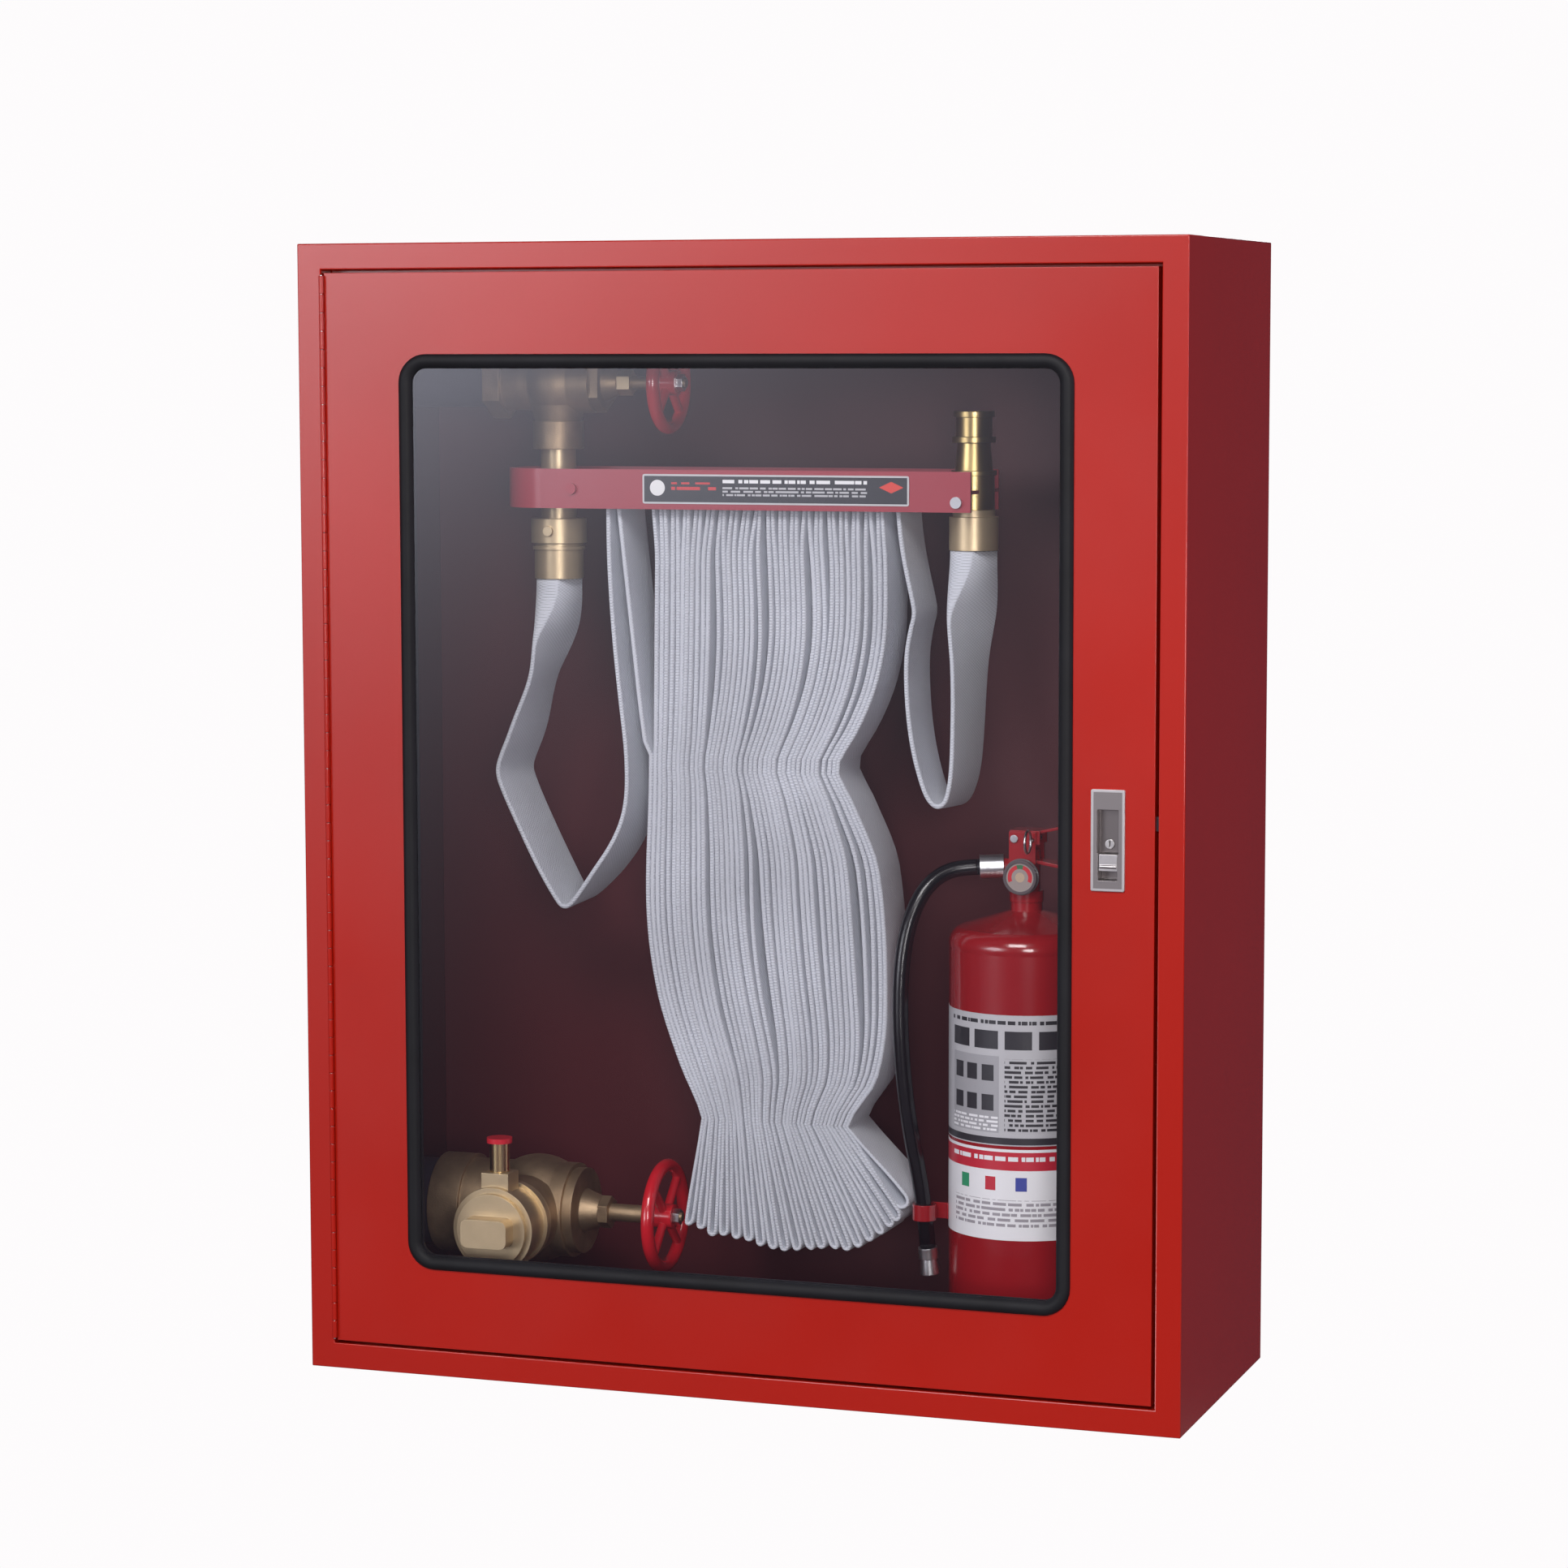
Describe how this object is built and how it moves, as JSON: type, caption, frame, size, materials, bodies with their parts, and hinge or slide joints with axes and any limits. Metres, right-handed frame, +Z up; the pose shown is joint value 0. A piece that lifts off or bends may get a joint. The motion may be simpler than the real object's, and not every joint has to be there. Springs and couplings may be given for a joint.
{
  "type": "standpipe cabinet",
  "caption": "Wall-hung steel fire cabinet with a glazed door, folded hose on a swinging rack, angle valves with handwheels, and an extinguisher.",
  "frame": {"origin": "centre of the back face, at the middle of the four wall bolts", "axes": "+X to the right seen from the front, +Y into the wall, +Z up; the door faces -Y"},
  "size_m": [0.83, 0.3046, 1],
  "materials": {
    "red_paint": "satin powder coat",
    "back_paint": "satin powder coat",
    "rubber": "satin",
    "glass": "polished",
    "steel": "bright",
    "zinc": "bright zinc",
    "lock_plate": "satin chrome",
    "bronze": "cast, dull",
    "brass": "polished",
    "pipe_paint": "satin",
    "wheel_paint": "gloss",
    "rack_paint": "gloss",
    "nameplate": "satin",
    "hose_cloth": "woven polyester",
    "bottle_paint": "gloss",
    "gauge": "bright",
    "hose_rubber": "satin",
    "label": "satin"
  },
  "bodies": {
    "cabinet": {"cabinet_shell": "red_paint", "back_panel": "back_paint", "pipe_grommets": "rubber", "hinge_leaf_frame": "red_paint", "hinge_pin": "steel", "upper_valve_body": "bronze", "upper_inlet_pipe": "pipe_paint", "upper_bonnet": "bronze", "upper_packing_nut": "brass", "rack_nipple": "brass", "lower_valve_body": "bronze", "lower_inlet_pipe": "pipe_paint", "lower_bonnet": "bronze", "outlet_coupling": "brass", "outlet_cap": "brass", "ext_cylinder": "bottle_paint", "ext_valve": "brass", "ext_siphon_tube": "steel", "ext_gauge": "gauge", "ext_carry_handle": "bottle_paint", "ext_lever_pivot": "steel", "ext_hose": "hose_rubber", "ext_hose_ferrule": "zinc", "ext_nozzle": "zinc", "ext_hose_clip": "bottle_paint", "ext_labels": "label"},
    "door": {"door_panel": "red_paint", "window_gasket": "rubber", "door_glass": "glass", "hinge_leaf_door": "red_paint", "latch_housing": "lock_plate"},
    "thumb": {"thumb_slide": "lock_plate"},
    "bolt": {"latch_bolt": "steel"},
    "key": {"key_cylinder": "lock_plate"},
    "upper_seat": {"upper_disc": "bronze"},
    "upper_wheel": {"upper_stem": "bronze", "upper_handwheel": "wheel_paint", "upper_wheel_nut": "zinc"},
    "lower_seat": {"lower_disc": "bronze"},
    "lower_wheel": {"lower_stem": "bronze", "lower_handwheel": "wheel_paint", "lower_wheel_nut": "zinc"},
    "upper_release": {"outlet_upper_plunger": "brass"},
    "lower_release": {"outlet_lower_plunger": "brass"},
    "rack": {"rack_frame": "rack_paint", "rack_hub": "rack_paint", "hose_pins": "steel", "nozzle_bracket": "rack_paint", "rack_screws": "zinc", "rack_nameplate": "nameplate", "hose_inlet_coupling": "brass", "hose_tail_left": "hose_cloth", "hose_pack": "hose_cloth", "hose_tail_right": "hose_cloth", "hose_outlet_coupling": "brass", "nozzle_body": "brass"},
    "swivel": {"swivel_ring": "brass"},
    "tip": {"nozzle_tip": "brass"},
    "squeeze": {"ext_squeeze_lever": "bottle_paint"},
    "safety": {"ext_safety_pin": "steel"}
  },
  "joints": [
    {"name": "door_swing", "type": "hinge", "parent": "cabinet", "child": "door", "pos_m": [-0.376, -0.3024, 0], "axis": [0, 0, -1], "range_deg": [0, 165]},
    {"name": "thumb_slide_down", "type": "slide", "parent": "door", "child": "thumb", "axis": [0, 0, -1], "range_m": [0, 0.007], "stiffness_N_per_m": 250},
    {"name": "bolt_retract", "type": "slide", "parent": "door", "child": "bolt", "axis": [-1, 0, 0], "range_m": [0, 0.011]},
    {"name": "key_turn", "type": "hinge", "parent": "door", "child": "key", "pos_m": [0.3348, -0.295, -0.0019], "axis": [0, 1, 0], "range_deg": [0, 90]},
    {"name": "upper_wheel_turn", "type": "hinge", "parent": "upper_seat", "child": "upper_wheel", "pos_m": [-0.11, -0.15, 0.378], "axis": [1, 0, 0], "range_deg": [0, 1440]},
    {"name": "upper_stem_travel", "type": "slide", "parent": "cabinet", "child": "upper_seat", "axis": [1, 0, 0], "range_m": [0, 0.0121]},
    {"name": "lower_wheel_turn", "type": "hinge", "parent": "lower_seat", "child": "lower_wheel", "pos_m": [-0.117, -0.15, -0.374], "axis": [1, 0, 0], "range_deg": [0, 1440]},
    {"name": "lower_stem_travel", "type": "slide", "parent": "cabinet", "child": "lower_seat", "axis": [1, 0, 0], "range_m": [0, 0.0121]},
    {"name": "upper_release_pull", "type": "slide", "parent": "cabinet", "child": "upper_release", "axis": [0, 0, 1], "range_m": [0, 0.006], "stiffness_N_per_m": 800},
    {"name": "lower_release_pull", "type": "slide", "parent": "cabinet", "child": "lower_release", "axis": [0, 0, -1], "range_m": [0, 0.006], "stiffness_N_per_m": 800},
    {"name": "rack_swing", "type": "hinge", "parent": "cabinet", "child": "rack", "pos_m": [-0.216, -0.15, 0.285], "axis": [0, 0, -1], "range_deg": [0, 75.1]},
    {"name": "swivel_turn", "type": "hinge", "parent": "rack", "child": "swivel", "pos_m": [-0.216, -0.15, 0.246], "axis": [0, 0, 1], "range_deg": [-180, 180]},
    {"name": "nozzle_tip_turn", "type": "hinge", "parent": "rack", "child": "tip", "pos_m": [0.173, -0.15, 0.34], "axis": [0, 0, 1], "range_deg": [0, 270]},
    {"name": "squeeze_lever", "type": "hinge", "parent": "cabinet", "child": "squeeze", "pos_m": [0.215, -0.15, -0.016], "axis": [0, 1, 0], "range_deg": [0, 12], "stiffness_Nm_per_rad": 3},
    {"name": "safety_pin_pull", "type": "slide", "parent": "cabinet", "child": "safety", "axis": [0, -1, 0], "range_m": [0, 0.045]}
  ],
  "couplings": [
    {"joint": "bolt_retract", "follows": "thumb_slide_down", "ratio": 1.5714},
    {"joint": "upper_stem_travel", "follows": "upper_wheel_turn", "m_per_rad": 0.00047746},
    {"joint": "lower_stem_travel", "follows": "lower_wheel_turn", "m_per_rad": 0.00047746},
    {"joint": "rack_swing", "follows": "door_swing", "ratio": 0.45455}
  ]
}
